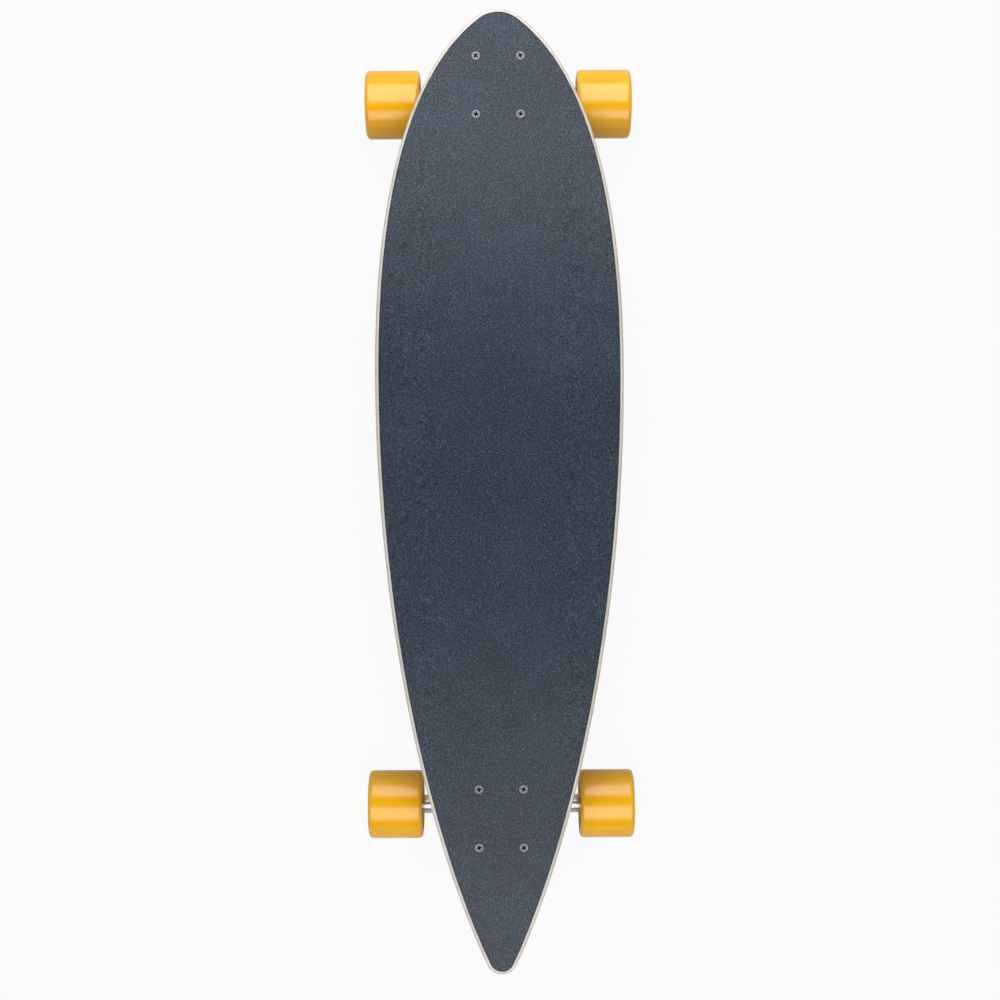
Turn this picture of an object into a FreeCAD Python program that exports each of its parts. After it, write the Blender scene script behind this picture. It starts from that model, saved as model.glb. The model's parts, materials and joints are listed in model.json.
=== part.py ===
import FreeCAD, Part
import math
import os

# A pintail longboard: a pressed maple deck with grip tape, on two reverse kingpin trucks and four cast
# urethane wheels with ball bearings. Millimetres and degrees. +X points to the nose, +Y to the left and
# +Z up, and the origin is on the ground under the middle of the deck.

# Deck outline: a nose arc and a tail arc, joined by flank curves that meet at the widest station.
# A reach is how far a flank curve keeps the direction that it starts or ends with.
DECK_LENGTH = 895.0
DECK_WIDTH = 230.0
WIDEST_FROM_NOSE = 336.0
NOSE_RADIUS = 32.5
NOSE_ARC_ANGLE = 37.0
NOSE_FLANK_REACH = 77.0
WIDEST_FRONT_REACH = 170.0
WIDEST_REAR_REACH = 265.0
TAIL_FLANK_REACH = 99.0
TAIL_ARC_ANGLE = 64.5
TAIL_RADIUS = 15.0

# Deck section: a flat floor with rails that curve up at both sides
DECK_THICKNESS = 11.0
FLAT_FLOOR_WIDTH = 100.0
RAIL_RISE = 5.0
DECK_EDGE_ROUNDING = 3.2
DECK_EDGE_LIMIT = 0.45
GRIP_THICKNESS = 0.8
GRIP_INSET = 3.4

# Truck mounting: new-school bolt pattern, screws with countersunk heads. A truck's angle is the way that
# its outward side faces: the front one to the nose and the rear one to the tail. Each screw was left at a
# turn of its own: right and left on the tail side of its truck, then right and left on the nose side.
FRONT_TRUCK_FROM_NOSE = 70.9
FRONT_TRUCK_ANGLE = 0.0
REAR_TRUCK_FROM_TAIL = 145.0
REAR_TRUCK_ANGLE = 180.0
BOLT_SPACING_LONG = 53.98
BOLT_SPACING_WIDE = 41.28
SCREW_DIAMETER = 4.83
SCREW_END = 5.0
SCREW_HEAD_DIAMETER = 7.8
SCREW_HEAD_EDGE = 0.4
SCREW_HEAD_CONE_ANGLE = 82.0
SCREW_HEAD_SINK = 0.2
SCREW_THREAD_PITCH = 0.79
CROSS_RECESS_LENGTH = 4.8
CROSS_RECESS_FLOOR = 2.2
CROSS_RECESS_WIDTH = 1.4
CROSS_RECESS_DEPTH = 2.0
SCREW_TURNS = {"front": (-13.0, -15.0, 25.0, -43.0), "rear": (35.0, 16.0, -15.0, 9.0)}
MOUNTING_NUT_FLATS = 9.5
MOUNTING_NUT_HEIGHT = 6.0
RISER_THICKNESS = 3.0
RISER_BORDER = 1.0

# Baseplate
FLANGE_LENGTH = 90.0
FLANGE_WIDTH = 60.0
FLANGE_THICKNESS = 6.0
FLANGE_CORNER_RADIUS = 10.0
FLANGE_EDGE_ROUNDING = 1.5
SEAT_WALL = 8.0
SEAT_BORDER = 0.3
TOWER_WALL = 3.0
SPINE_TOE = 3.0

# Steering geometry: the pivot axis rises towards the board's end, square to the kingpin, and the axle lies
# a little outward of the bolt pattern's middle
PIVOT_ANGLE = 45.0
STEER_LIMIT = 18.0
AXLE_OFFSET = 1.1
AXLE_DROP = 66.0
AXLE_RAKE = 15.0
PIVOT_NOSE_DIAMETER = 12.6
PIVOT_NOSE_DEPTH = 7.0
PIVOT_CUP_WALL = 2.0

# Kingpin and what it clamps
KINGPIN_DIAMETER = 9.5
KINGPIN_THREAD_PITCH = 1.06
KINGPIN_HEAD_FLATS = 14.3
KINGPIN_HEAD_HEIGHT = 6.0
KINGPIN_NUT_HEIGHT = 9.0
KINGPIN_END = 2.0
BUSHING_DIAMETER = 27.0
BUSHING_WAIST = 1.2
BOARDSIDE_BUSHING_HEIGHT = 15.0
ROADSIDE_BUSHING_HEIGHT = 13.0
ROADSIDE_BUSHING_TIP_DIAMETER = 20.0
CUP_WASHER_THICKNESS = 1.5
CUP_WASHER_WALL = 1.2
CUP_WASHER_DEPTH = 2.2

# Hanger and axle
HANGER_WIDTH = 178.0
HANGER_MIDDLE_DIAMETER = 21.0
HANGER_END_DIAMETER = 16.8
HANGER_RING_WALL = 3.6
HANGER_WEB_THICKNESS = 7.0
BUSHING_SEAT_DEPTH = 2.5
WING_SPAN = 112.0
WING_ROOT_THICKNESS = 10.0
WING_TIP_THICKNESS = 14.0
AXLE_DIAMETER = 8.0
AXLE_THREAD_PITCH = 1.06
AXLE_END = 1.6
AXLE_NUT_FLATS = 12.7
AXLE_NUT_HEIGHT = 8.0
SPEED_WASHER_DIAMETER = 10.4
SPEED_WASHER_THICKNESS = 1.0

# Threads and nuts: a nut's hexagon fills its share of the height, and a round locking collar the rest
THREAD_DEPTH_SHARE = 0.6
THREAD_RUNOUT = 2.0
NUT_HEXAGON_SHARE = 0.76
NUT_COLLAR_SHARE = 0.9

# Wheels
WHEEL_DIAMETER = 65.0
WHEEL_WIDTH = 52.0
WHEEL_LIP_ROUNDING = 4.0
WHEEL_LIP_FLAT = 3.5
CORE_DIAMETER = 32.0
CORE_STEP = 1.8
CORE_LIP = 0.6
CORE_SHOULDER = 1.5

# Ball bearings
BEARING_DIAMETER = 22.0
BEARING_WIDTH = 7.0
BEARING_SPACER_LENGTH = 10.0
BEARING_SPACER_WALL = 1.5
BALL_DIAMETER = 3.97
BALL_COUNT = 7
INNER_RING_WALL = 2.05
OUTER_RING_WALL = 1.85
SHIELD_THICKNESS = 0.4
SHIELD_SINK = 0.35
SHIELD_SEAT = 0.45
CAGE_WALL = 1.7
CAGE_SIDE = 0.42

# Clearances
SLIP_FIT = 0.02
RUNNING_FIT = 0.05
PIVOT_FIT = 0.08
HOLE_CLEARANCE = 0.2
GRIP_HOLE_CLEARANCE = 0.1
BUSHING_CLEARANCE = 0.3
STEER_CLEARANCE = 1.5
HEAD_CLEARANCE = 0.3

Vector = FreeCAD.Vector
X_AXIS = Vector(1, 0, 0)
Y_AXIS = Vector(0, 1, 0)
Z_AXIS = Vector(0, 0, 1)
ORIGIN = Vector(0, 0, 0)

# Levels above the ground
axle_level = WHEEL_DIAMETER / 2
base_level = axle_level + AXLE_DROP
deck_bottom = base_level + RISER_THICKNESS
deck_top = deck_bottom + DECK_THICKNESS
grip_top = deck_top + GRIP_THICKNESS
screw_head_level = grip_top - SCREW_HEAD_SINK
screw_grip = screw_head_level - base_level + FLANGE_THICKNESS
screw_length = screw_grip + MOUNTING_NUT_HEIGHT + SCREW_END

# Levels along the kingpin, from the middle of the hanger's web: towards the board is positive
kingpin_radius = KINGPIN_DIAMETER / 2
bushing_radius = BUSHING_DIAMETER / 2
cup_inner_radius = bushing_radius + BUSHING_CLEARANCE
cup_radius = cup_inner_radius + CUP_WASHER_WALL
web_half = HANGER_WEB_THICKNESS / 2
seat_level = web_half + BOARDSIDE_BUSHING_HEIGHT + CUP_WASHER_THICKNESS
head_level = seat_level + SEAT_WALL
roadside_washer_level = -web_half - ROADSIDE_BUSHING_HEIGHT - CUP_WASHER_THICKNESS
kingpin_nut_end = roadside_washer_level - KINGPIN_NUT_HEIGHT

# Stations along the pivot axis, from the kingpin: towards the board's end is positive
hanger_middle_radius = HANGER_MIDDLE_DIAMETER / 2
axle_station = -(cup_radius + STEER_CLEARANCE + hanger_middle_radius)
cup_mouth_station = axle_station - hanger_middle_radius - STEER_CLEARANCE
pivot_station = cup_mouth_station - PIVOT_NOSE_DEPTH
pivot_nose_radius = PIVOT_NOSE_DIAMETER / 2
pivot_bore_radius = pivot_nose_radius + PIVOT_FIT
pivot_cup_radius = pivot_bore_radius + PIVOT_CUP_WALL
tower_radius = pivot_cup_radius + TOWER_WALL

# Stations across the board, from its middle line
inner_bearing_start = HANGER_WIDTH / 2 + SPEED_WASHER_THICKNESS
wheel_station = inner_bearing_start + BEARING_WIDTH + BEARING_SPACER_LENGTH / 2
outer_bearing_end = inner_bearing_start + 2 * BEARING_WIDTH + BEARING_SPACER_LENGTH
axle_nut_start = outer_bearing_end + SPEED_WASHER_THICKNESS
axle_half_length = axle_nut_start + AXLE_NUT_HEIGHT + AXLE_END

# Each truck is drawn with its bolt pattern's centre at the origin, its mounting face at level zero and
# its outward side along +X. The steering frame has its origin on the kingpin in the hanger's web, X along
# the pivot axis and Z along the kingpin towards the board.
pivot_direction = Vector(math.cos(math.radians(PIVOT_ANGLE)), 0, math.sin(math.radians(PIVOT_ANGLE)))
kingpin_direction = Vector(-pivot_direction.z, 0, pivot_direction.x)
axle_centre = Vector(AXLE_OFFSET, 0, -AXLE_DROP)
steer_origin = axle_centre - pivot_direction * axle_station + kingpin_direction * AXLE_RAKE
steering_frame = FreeCAD.Placement(steer_origin, FreeCAD.Rotation(Y_AXIS, -PIVOT_ANGLE))

# A direction counts as level while its rise stays under this share of its length.
LEVEL_SHARE = 0.5

TRUCKS = {
    "front": (DECK_LENGTH / 2 - FRONT_TRUCK_FROM_NOSE, FRONT_TRUCK_ANGLE),
    "rear": (REAR_TRUCK_FROM_TAIL - DECK_LENGTH / 2, REAR_TRUCK_ANGLE),
}


def turned(profile):
    """Solid of revolution about Z from (radius, level) corners."""
    wire = Part.makePolygon([Vector(radius, 0, level) for radius, level in profile + profile[:1]])
    return Part.Face(wire).revolve(ORIGIN, Z_AXIS, 360)


def tube(outer_radius, inner_radius, start, end):
    """Straight tube along Z."""
    return turned([(inner_radius, start), (outer_radius, start), (outer_radius, end), (inner_radius, end)])


def rod(radius, start, end):
    """Straight rod along Z."""
    return Part.makeCylinder(radius, end - start, Vector(0, 0, start))


def along_y(shape):
    """Turns a shape drawn along Z so that it lies along Y."""
    lying = shape.copy()
    lying.rotate(ORIGIN, X_AXIS, -90)
    return lying


def moved(shape, x=0.0, y=0.0, z=0.0):
    """Copy of a shape, shifted."""
    copy = shape.copy()
    copy.translate(Vector(x, y, z))
    return copy


def mirrored(shape):
    """Copy of a shape on the other side of the board's middle line."""
    return shape.mirror(ORIGIN, Y_AXIS)


def in_truck(shape):
    """Takes a shape from the steering frame to the truck's frame."""
    placed = shape.copy()
    placed.Placement = steering_frame.multiply(placed.Placement)
    return placed


def on_board(shape, truck):
    """Takes a shape from the truck's frame to its place under the board."""
    station, turn = TRUCKS[truck]
    placed = shape.copy()
    placed.rotate(ORIGIN, Z_AXIS, turn)
    placed.translate(Vector(station, 0, base_level))
    return placed


def hexagon(flats, start, end):
    """Hexagonal prism along Z, with two flats square to Y."""
    corner = flats / 2 / math.cos(math.pi / 6)
    points = [
        Vector(corner * math.cos(math.pi / 3 * side), corner * math.sin(math.pi / 3 * side), start)
        for side in range(7)
    ]
    return Part.Face(Part.makePolygon(points)).extrude(Vector(0, 0, end - start))


def lock_nut(flats, height, bore_radius):
    """Lock nut that stands on level zero, with its round collar on top and chamfered corners."""
    shoulder = height * NUT_HEXAGON_SHARE
    collar_radius = flats / 2 * NUT_COLLAR_SHARE
    corner_radius = flats / 2 / math.cos(math.pi / 6)
    chamfer = corner_radius - flats / 2
    envelope = turned([
        (bore_radius, 0),
        (flats / 2, 0),
        (corner_radius, chamfer / 2),
        (corner_radius, shoulder - chamfer / 2),
        (flats / 2, shoulder),
        (collar_radius, shoulder),
        (collar_radius, height - chamfer),
        (collar_radius - chamfer, height),
        (bore_radius, height),
    ])
    body = hexagon(flats, 0, shoulder).fuse(rod(collar_radius, shoulder, height))
    return body.common(envelope).removeSplitter()


def threaded_rod(radius, start, end, nut_length, pitch):
    """Rod along Z, chamfered at its end, with ring-shaped thread grooves for a nut and some run-out."""
    depth = pitch * THREAD_DEPTH_SHARE
    grooves = int((nut_length + THREAD_RUNOUT) / pitch)
    profile = [(0, start), (radius, start)]
    for groove in range(grooves):
        root = end - pitch / 2 - (grooves - groove) * pitch
        profile += [(radius, root), (radius - depth, root + pitch / 2)]
    profile += [(radius, end - pitch / 2), (radius - depth, end), (0, end)]
    return turned(profile)


def is_level(direction):
    """Whether a direction of unit length lies nearly flat."""
    return abs(direction.z) < LEVEL_SHARE


def bolt_places():
    """Centres of the four mounting holes, in the truck's frame."""
    return [
        (x * BOLT_SPACING_LONG / 2, y * BOLT_SPACING_WIDE / 2)
        for x in (-1, 1)
        for y in (-1, 1)
    ]


def rounded_plate(length, width, corner, bottom, top):
    """Flat plate with rounded corners, centred on the origin."""
    plate = Part.makeBox(length, width, top - bottom, Vector(-length / 2, -width / 2, bottom))
    upright = [edge for edge in plate.Edges if not is_level(edge.tangentAt(edge.FirstParameter))]
    return plate.makeFillet(corner, upright)


def deck_outline(inset):
    """Closed outline of the deck at level zero, drawn in by the inset."""
    half = DECK_LENGTH / 2
    nose = math.radians(NOSE_ARC_ANGLE)
    tail = math.radians(TAIL_ARC_ANGLE)
    nose_centre = Vector(half - NOSE_RADIUS, 0, 0)
    tail_centre = Vector(TAIL_RADIUS - half, 0, 0)
    widest = Vector(half - WIDEST_FROM_NOSE, DECK_WIDTH / 2 - inset, 0)
    nose_end = nose_centre + Vector(math.cos(nose), math.sin(nose), 0) * (NOSE_RADIUS - inset)
    tail_end = tail_centre + Vector(-math.cos(tail), math.sin(tail), 0) * (TAIL_RADIUS - inset)
    front_poles = [
        nose_end,
        nose_end + Vector(-math.sin(nose), math.cos(nose), 0) * NOSE_FLANK_REACH,
        widest + X_AXIS * WIDEST_FRONT_REACH,
        widest,
    ]
    rear_poles = [
        widest,
        widest - X_AXIS * WIDEST_REAR_REACH,
        tail_end + Vector(math.sin(tail), math.cos(tail), 0) * TAIL_FLANK_REACH,
        tail_end,
    ]
    edges = [
        Part.Arc(across(nose_end), Vector(half - inset, 0, 0), nose_end).toShape(),
        Part.Arc(tail_end, Vector(inset - half, 0, 0), across(tail_end)).toShape(),
    ]
    for poles in (front_poles, rear_poles):
        edges.append(flank(poles))
        edges.append(flank([across(pole) for pole in poles]))
    return Part.Wire(Part.__sortEdges__(edges))


def across(point):
    """The same point on the other side of the board's middle line."""
    return Vector(point.x, -point.y, point.z)


def flank(poles):
    """One flank curve of the outline."""
    curve = Part.BezierCurve()
    curve.setPoles(poles)
    return curve.toShape()


def tub_layer(bottom, top):
    """Layer of the deck's tub-shaped section between two floor levels, longer and wider than the deck."""
    floor_half = FLAT_FLOOR_WIDTH / 2
    rail_width = DECK_WIDTH / 2 - floor_half
    bend_radius = (rail_width ** 2 + RAIL_RISE ** 2) / (2 * RAIL_RISE)
    centre_level = deck_top + bend_radius
    sweep = math.asin((rail_width + DECK_THICKNESS) / bend_radius)

    def bent(level, share):
        radius = centre_level - level
        angle = sweep * share
        side = floor_half + radius * math.sin(angle)
        return Vector(-DECK_LENGTH, side, centre_level - radius * math.cos(angle))

    def half_curve(level):
        return Part.Arc(bent(level, 0), bent(level, 0.5), bent(level, 1)).toShape()

    edges = []
    for level in (bottom, top):
        rail = half_curve(level)
        edges += [rail, mirrored(rail)]
        edges.append(Part.makeLine(across(bent(level, 0)), bent(level, 0)))
    edges.append(Part.makeLine(bent(bottom, 1), bent(top, 1)))
    edges.append(Part.makeLine(across(bent(bottom, 1)), across(bent(top, 1))))
    section = Part.Face(Part.Wire(Part.__sortEdges__(edges)))
    return section.extrude(X_AXIS * 2 * DECK_LENGTH)


def outline_prism(inset):
    """Upright prism on the deck's outline, drawn in by the inset."""
    return Part.Face(deck_outline(inset)).extrude(Z_AXIS * 2 * grip_top)


def rim_edges(slab):
    """Edges where the slab's upright wall meets its upper and lower faces."""

    def is_wall(face):
        first_u, last_u, first_v, last_v = face.ParameterRange
        return is_level(face.normalAt((first_u + last_u) / 2, (first_v + last_v) / 2))

    walls = [face for face in slab.Faces if is_wall(face)]
    rim = []
    for wall in walls:
        for edge in wall.Edges:
            tangent = edge.tangentAt((edge.FirstParameter + edge.LastParameter) / 2)
            if is_level(tangent):
                rim.append(edge)
    return rim


def screw_shape():
    """Mounting screw with its head's top at level zero, pointing down."""
    radius = SCREW_DIAMETER / 2
    head_radius = SCREW_HEAD_DIAMETER / 2
    cone_height = (head_radius - radius) / math.tan(math.radians(SCREW_HEAD_CONE_ANGLE / 2))
    neck = SCREW_HEAD_EDGE + cone_height
    head = turned([(0, 0), (head_radius, 0), (head_radius, -SCREW_HEAD_EDGE), (radius, -neck), (0, -neck)])
    shank = threaded_rod(radius, neck, screw_length, MOUNTING_NUT_HEIGHT + SCREW_END, SCREW_THREAD_PITCH)
    shank.rotate(ORIGIN, X_AXIS, 180)
    screw = head.fuse(shank)
    slot_points = [
        Vector(-CROSS_RECESS_LENGTH / 2, -CROSS_RECESS_WIDTH / 2, 0),
        Vector(CROSS_RECESS_LENGTH / 2, -CROSS_RECESS_WIDTH / 2, 0),
        Vector(CROSS_RECESS_FLOOR / 2, -CROSS_RECESS_WIDTH / 2, -CROSS_RECESS_DEPTH),
        Vector(-CROSS_RECESS_FLOOR / 2, -CROSS_RECESS_WIDTH / 2, -CROSS_RECESS_DEPTH),
    ]
    slot = Part.Face(Part.makePolygon(slot_points + slot_points[:1])).extrude(Y_AXIS * CROSS_RECESS_WIDTH)
    cross_slot = slot.copy()
    cross_slot.rotate(ORIGIN, Z_AXIS, 90)
    return screw.cut(slot.fuse(cross_slot))


def screw_cutter(clearance):
    """Space for one mounting screw, with its head's top at level zero."""
    radius = SCREW_DIAMETER / 2 + clearance
    head_radius = SCREW_HEAD_DIAMETER / 2 + clearance
    cone_height = (head_radius - radius) / math.tan(math.radians(SCREW_HEAD_CONE_ANGLE / 2))
    neck = SCREW_HEAD_EDGE + cone_height
    above = DECK_THICKNESS
    below = screw_length * 2
    return turned([
        (0, above),
        (head_radius, above),
        (head_radius, -SCREW_HEAD_EDGE),
        (radius, -neck),
        (radius, -below),
        (0, -below),
    ])


def board_places():
    """Centres of all eight mounting screws on the board, with each screw's turn."""
    places = []
    for truck, (station, _) in TRUCKS.items():
        for (x, y), turn in zip(bolt_places(), SCREW_TURNS[truck]):
            places.append((truck, station + x, y, turn))
    return places


def make_deck():
    """Deck with rounded edges, screw holes and countersinks."""
    slab = tub_layer(deck_bottom, deck_top).common(outline_prism(0))
    rounding = min(DECK_EDGE_ROUNDING, DECK_EDGE_LIMIT * DECK_THICKNESS)
    deck = slab.makeFillet(rounding, rim_edges(slab))
    cutters = [moved(screw_cutter(SLIP_FIT), x, y, screw_head_level) for _, x, y, _ in board_places()]
    return deck.cut(cutters)


def make_grip_tape():
    """Grip tape on the deck, with a round hole at each screw head."""
    sheet = tub_layer(deck_top, grip_top).common(outline_prism(GRIP_INSET))
    hole_radius = SCREW_HEAD_DIAMETER / 2 + GRIP_HOLE_CLEARANCE
    holes = [moved(rod(hole_radius, deck_bottom, grip_top * 2), x, y) for _, x, y, _ in board_places()]
    return sheet.cut(holes)


def make_screws(truck):
    """The four mounting screws of one truck."""
    screws = []
    for owner, x, y, turn in board_places():
        if owner == truck:
            screw = screw_shape()
            screw.rotate(ORIGIN, Z_AXIS, turn)
            screws.append(moved(screw, x, y, screw_head_level))
    return Part.makeCompound(screws)


def make_mounting_nuts():
    """The four lock nuts under one baseplate's flange, collars down."""
    nut = lock_nut(MOUNTING_NUT_FLATS, MOUNTING_NUT_HEIGHT, SCREW_DIAMETER / 2 + SLIP_FIT)
    nut.rotate(ORIGIN, X_AXIS, 180)
    return Part.makeCompound([moved(nut, x, y, -FLANGE_THICKNESS) for x, y in bolt_places()])


def bolt_holes(bottom, top):
    """Cutters for the four mounting holes."""
    radius = SCREW_DIAMETER / 2 + HOLE_CLEARANCE
    return [moved(rod(radius, bottom, top), x, y) for x, y in bolt_places()]


def make_riser_pad():
    """Rubber pad between baseplate and deck."""
    border = 2 * RISER_BORDER
    corner = FLANGE_CORNER_RADIUS + RISER_BORDER
    pad = rounded_plate(FLANGE_LENGTH + border, FLANGE_WIDTH + border, corner, 0, RISER_THICKNESS)
    return pad.cut(bolt_holes(0, RISER_THICKNESS))


def side_profile(points, half_width):
    """Prism across the truck from corners in its X and Z."""
    corners = [Vector(x, -half_width, z) for x, z in points]
    return Part.Face(Part.makePolygon(corners + corners[:1])).extrude(Y_AXIS * 2 * half_width)


def side_point(station, level):
    """Point of the steering frame's middle plane as the truck's (x, z)."""
    point = steer_origin + pivot_direction * station + kingpin_direction * level
    return point.x, point.z


def kingpin_seat_block():
    """Wedge that carries the kingpin seat."""
    reach = cup_radius + SEAT_BORDER
    high_x, high_z = side_point(reach, seat_level)
    low_x, low_z = side_point(-reach, seat_level)
    root = -FLANGE_THICKNESS / 2
    return side_profile([(high_x, root), (high_x, high_z), (low_x, low_z), (low_x, root)], reach)


def pivot_spine():
    """Fin from the flange to the pivot tower, behind the kingpin seat."""
    low_x, low_z = side_point(-cup_radius - SEAT_BORDER, seat_level)
    neck_x, neck_z = side_point(cup_mouth_station, tower_radius)
    mouth_x, mouth_z = side_point(cup_mouth_station, 0)
    pivot_x, pivot_z = side_point(pivot_station, 0)
    heel = tower_radius * math.sqrt(0.5)
    heel_x, heel_z = side_point(pivot_station - heel, heel)
    root = -FLANGE_THICKNESS / 2
    toe_x = SPINE_TOE - FLANGE_LENGTH / 2
    return side_profile(
        [
            (low_x, root),
            (low_x, low_z),
            (neck_x, neck_z),
            (mouth_x, mouth_z),
            (pivot_x, pivot_z),
            (heel_x, heel_z),
            (toe_x, root),
        ],
        tower_radius,
    )


def pivot_socket(radius, length):
    """Round-ended plug along the pivot axis that starts at the cup's mouth, in the steering frame."""
    middle = Vector(cup_mouth_station - length, 0, 0)
    barrel = Part.makeCylinder(radius, length, middle, X_AXIS)
    return barrel.fuse(Part.makeSphere(radius, middle, X_AXIS, -90, 0, 360)).removeSplitter()


def make_baseplate():
    """Baseplate with its flange, kingpin seat and pivot tower."""
    flange = rounded_plate(FLANGE_LENGTH, FLANGE_WIDTH, FLANGE_CORNER_RADIUS, -FLANGE_THICKNESS, 0)
    lower_rim = [edge for edge in flange.Edges if edge.BoundBox.ZMax < -FLANGE_THICKNESS / 2]
    flange = flange.makeFillet(FLANGE_EDGE_ROUNDING, lower_rim)
    tower = in_truck(pivot_socket(tower_radius, PIVOT_NOSE_DEPTH))
    casting = flange.fuse([kingpin_seat_block(), pivot_spine(), tower])
    head_radius = KINGPIN_HEAD_FLATS / 2 / math.cos(math.pi / 6) + HEAD_CLEARANCE
    far = AXLE_DROP * 2
    cutters = [
        in_truck(rod(kingpin_radius + SLIP_FIT, seat_level - SEAT_WALL, far)),
        in_truck(rod(head_radius, head_level, far)),
        in_truck(rod(cup_radius + SEAT_BORDER, 0, seat_level)),
        in_truck(pivot_socket(pivot_cup_radius, PIVOT_NOSE_DEPTH)),
    ]
    cutters += bolt_holes(-FLANGE_THICKNESS, 0)
    return casting.cut(cutters).removeSplitter()


def make_pivot_cup():
    """Round-bottomed cup that the hanger's pivot nose turns in."""
    cup = pivot_socket(pivot_cup_radius, PIVOT_NOSE_DEPTH)
    return in_truck(cup.cut(pivot_socket(pivot_bore_radius, PIVOT_NOSE_DEPTH)))


def make_kingpin():
    """Hexagon-headed kingpin, threaded towards the road."""
    head = hexagon(KINGPIN_HEAD_FLATS, head_level, head_level + KINGPIN_HEAD_HEIGHT)
    length = head_level - kingpin_nut_end + KINGPIN_END
    thread = KINGPIN_NUT_HEIGHT + KINGPIN_END
    shank = threaded_rod(kingpin_radius, 0, length, thread, KINGPIN_THREAD_PITCH)
    shank.rotate(ORIGIN, X_AXIS, 180)
    return in_truck(head.fuse(moved(shank, z=head_level)).removeSplitter())


def make_kingpin_nut():
    """Lock nut that clamps the bushings."""
    nut = lock_nut(KINGPIN_HEAD_FLATS, KINGPIN_NUT_HEIGHT, kingpin_radius + SLIP_FIT)
    nut.rotate(ORIGIN, X_AXIS, 180)
    return in_truck(moved(nut, z=roadside_washer_level))


def cup_washer(outer_radius):
    """Cup washer on level zero, open upwards."""
    bore = kingpin_radius + HOLE_CLEARANCE
    rim = CUP_WASHER_THICKNESS + CUP_WASHER_DEPTH
    return turned([
        (bore, 0),
        (outer_radius, 0),
        (outer_radius, rim),
        (outer_radius - CUP_WASHER_WALL, rim),
        (outer_radius - CUP_WASHER_WALL, CUP_WASHER_THICKNESS),
        (bore, CUP_WASHER_THICKNESS),
    ])


def make_cup_washers():
    """The boardside and the roadside cup washer."""
    boardside = cup_washer(cup_radius)
    boardside.rotate(ORIGIN, X_AXIS, 180)
    tip_radius = ROADSIDE_BUSHING_TIP_DIAMETER / 2 + BUSHING_CLEARANCE + CUP_WASHER_WALL
    washers = [moved(boardside, z=seat_level), moved(cup_washer(tip_radius), z=roadside_washer_level)]
    return Part.makeCompound([in_truck(washer) for washer in washers])


def make_boardside_bushing():
    """Barrel bushing between the baseplate and the hanger, slightly waisted."""
    bore = kingpin_radius + HOLE_CLEARANCE
    top = web_half + BOARDSIDE_BUSHING_HEIGHT
    middle = web_half + BOARDSIDE_BUSHING_HEIGHT / 2
    collar = CUP_WASHER_DEPTH
    return in_truck(turned([
        (bore, web_half),
        (bushing_radius, web_half),
        (bushing_radius, web_half + collar),
        (bushing_radius - BUSHING_WAIST, middle),
        (bushing_radius, top - collar),
        (bushing_radius, top),
        (bore, top),
    ]))


def make_roadside_bushing():
    """Cone bushing between the hanger and the kingpin nut."""
    bore = kingpin_radius + HOLE_CLEARANCE
    tip_radius = ROADSIDE_BUSHING_TIP_DIAMETER / 2
    tip = -web_half - ROADSIDE_BUSHING_HEIGHT
    return in_truck(turned([
        (bore, -web_half),
        (bushing_radius, -web_half),
        (bushing_radius, -web_half - BUSHING_SEAT_DEPTH),
        (tip_radius, tip + CUP_WASHER_DEPTH),
        (tip_radius, tip),
        (bore, tip),
    ]))


def wing_section(station, half_span, low, high):
    """Closed rectangle square to the pivot axis."""
    corners = [
        Vector(station, -half_span, low),
        Vector(station, half_span, low),
        Vector(station, half_span, high),
        Vector(station, -half_span, high),
    ]
    return Part.makePolygon(corners + corners[:1])


def hanger_wing():
    """Flat body that spreads from the bushing ring to the axle housing, clear of the washer and nut."""
    ring_radius = cup_radius + HANGER_RING_WALL
    root = wing_section(0, ring_radius, -WING_ROOT_THICKNESS / 2, WING_ROOT_THICKNESS / 2)
    tip_low = -AXLE_RAKE - WING_TIP_THICKNESS / 2
    tip = wing_section(axle_station, WING_SPAN / 2, tip_low, tip_low + WING_TIP_THICKNESS)
    wing = Part.makeLoft([root, tip], True, True)
    relief_end = -(cup_radius + STEER_CLEARANCE)
    relief_top = -web_half - BUSHING_SEAT_DEPTH
    relief = Part.makeBox(
        -2 * relief_end,
        WING_SPAN,
        AXLE_DROP,
        Vector(relief_end, -WING_SPAN / 2, relief_top - AXLE_DROP),
    )
    return wing.cut(relief)


def axle_housing():
    """Round housing along the axle, thickest in the middle."""
    arm = Part.makeCone(hanger_middle_radius, HANGER_END_DIAMETER / 2, HANGER_WIDTH / 2)
    arm = moved(along_y(arm), x=axle_station, z=-AXLE_RAKE)
    return arm.fuse(mirrored(arm))


def pivot_nose():
    """Tapered neck and round-ended nose along the pivot axis."""
    nose = pivot_socket(pivot_nose_radius, PIVOT_NOSE_DEPTH)
    neck_length = -cup_mouth_station
    neck = Part.makeCone(hanger_middle_radius, pivot_nose_radius, neck_length)
    neck.rotate(ORIGIN, Y_AXIS, -90)
    return nose.fuse(neck)


def make_hanger():
    """Hanger with its bushing ring, wing, axle housing and pivot nose."""
    ring_half = web_half + BUSHING_SEAT_DEPTH
    ring = rod(cup_radius + HANGER_RING_WALL, -ring_half, ring_half)
    casting = ring.fuse([hanger_wing(), axle_housing(), pivot_nose()])
    tilt = math.radians(STEER_LIMIT)
    hole_radius = (kingpin_radius + web_half * math.sin(tilt)) / math.cos(tilt) + HOLE_CLEARANCE * 2
    seat_radius = bushing_radius + BUSHING_CLEARANCE
    bore = moved(
        along_y(rod(AXLE_DIAMETER / 2 + SLIP_FIT, -HANGER_WIDTH, HANGER_WIDTH)),
        x=axle_station,
        z=-AXLE_RAKE,
    )
    cutters = [
        rod(hole_radius, -ring_half, ring_half),
        rod(seat_radius, web_half, seat_level),
        rod(seat_radius, -seat_level, -web_half),
        bore,
    ]
    return in_truck(casting.cut(cutters).removeSplitter())


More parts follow.
